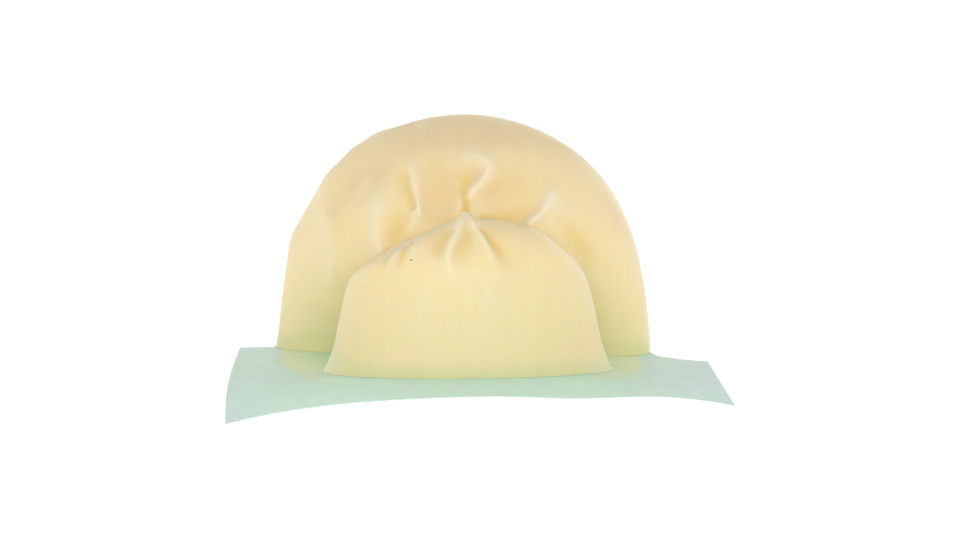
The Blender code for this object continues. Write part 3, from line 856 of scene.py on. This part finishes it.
studio = {
    "floorSize": 16000.0,
    "floorColour": "#7C7C7B",
    "floorRoughness": 0.9,
    "floorGlow": 0.9,         # a light table: the pale floor is lit from inside as well
    "white": "#FFFFFF",
    "skyAbove": 0.53,
    "skyFront": 0.2,
    "skyBehind": 1.55,        # a white backdrop, lit on its own
    "skyTurn": 0.3,           # how far each way from the side front passes into behind
    "skyRise": (0.2, 0.95),   # from low to overhead, as the sine of the angle up
    "lampPlace": (20.0, -1100.0, 150.0),
    "lampSize": 900.0,
    "lampPower": 10.0,
    "aim": (3.9, 0.0, 20.0),
    "cameraDistance": 800.0,
    "cameraElevation": 5.5,
    "imageWidth": 960,
    "pixelsPerMm": 375 / 86,  # in the photograph 86 mm of the body are 375 pixels
    "sensorWidth": 36.0,
}


# a plain pale floor, far larger than the picture
def makeFloor():
    material, _, _ = newMaterial("paleFloor", {
        "Base Color": linearColour(studio["floorColour"]),
        "Roughness": studio["floorRoughness"],
        "Emission Color": linearColour(studio["white"]),
        "Emission Strength": studio["floorGlow"],
    })
    half = studio["floorSize"] / 2
    corners = np.array([(-half, -half, 0), (half, -half, 0), (half, half, 0), (-half, half, 0)])
    floor = meshObject("floor", corners, [(0, 1, 2, 3)], material)


# Soft light from all round: low in front, bright behind and dim overhead, blended by the
# height and the depth of each direction
def makeSky():
    world = bpy.data.worlds.new("softSky")
    bpy.context.scene.world = world
    world.use_nodes = True
    tree = world.node_tree
    direction = addNode(tree, "TexCoord").outputs["Generated"]
    part = addNode(tree, "SeparateXYZ", {}, {0: direction}).outputs
    level = addNode(tree, "MapRange", {"interpolation_type": "SMOOTHSTEP"}, {
        "Value": part["Y"], "From Min": -studio["skyTurn"], "From Max": studio["skyTurn"],
        "To Min": studio["skyFront"], "To Max": studio["skyBehind"]})
    up = addNode(tree, "MapRange", {"interpolation_type": "SMOOTHSTEP"}, {
        "Value": part["Z"], "From Min": studio["skyRise"][0], "From Max": studio["skyRise"][1]})
    shade = addNode(tree, "Mix", {"data_type": "FLOAT"}, {
        0: up.outputs["Result"], 2: level.outputs["Result"], 3: studio["skyAbove"]})
    background = tree.nodes["Background"]
    tree.links.new(shade.outputs[0], background.inputs["Strength"])
    background.inputs["Color"].default_value = linearColour(studio["white"])


# one large soft lamp, low in front
def makeLamp():
    lamp = bpy.data.lights.new("frontLamp", "AREA")
    lamp.size = studio["lampSize"] * mm
    lamp.energy = studio["lampPower"]
    item = bpy.data.objects.new("frontLamp", lamp)
    bpy.context.scene.collection.objects.link(item)
    item.location = Vector(studio["lampPlace"]) * mm
    towards = Vector(studio["aim"]) * mm - item.location
    item.rotation_euler = towards.to_track_quat("-Z", "Y").to_euler()


# The camera looks a little down on the cheese, from straight in front. Its lens is the length
# at which one millimetre at the aim is as many pixels wide as in the photograph
def makeCamera():
    camera = bpy.data.cameras.new("camera")
    camera.sensor_width = studio["sensorWidth"]
    shown = studio["imageWidth"] / studio["pixelsPerMm"]
    camera.lens = studio["sensorWidth"] * studio["cameraDistance"] / shown
    item = bpy.data.objects.new("camera", camera)
    bpy.context.scene.collection.objects.link(item)
    elevation = math.radians(studio["cameraElevation"])
    back = Vector((0, -math.cos(elevation), math.sin(elevation))) * studio["cameraDistance"]
    item.location = (Vector(studio["aim"]) + back) * mm
    item.rotation_euler = (math.pi / 2 - elevation, 0, 0)
    bpy.context.scene.camera = item


makeFloor()
makeSky()
makeLamp()
makeCamera()
bpy.context.scene.view_settings.view_transform = "Standard"
print("studio ready")
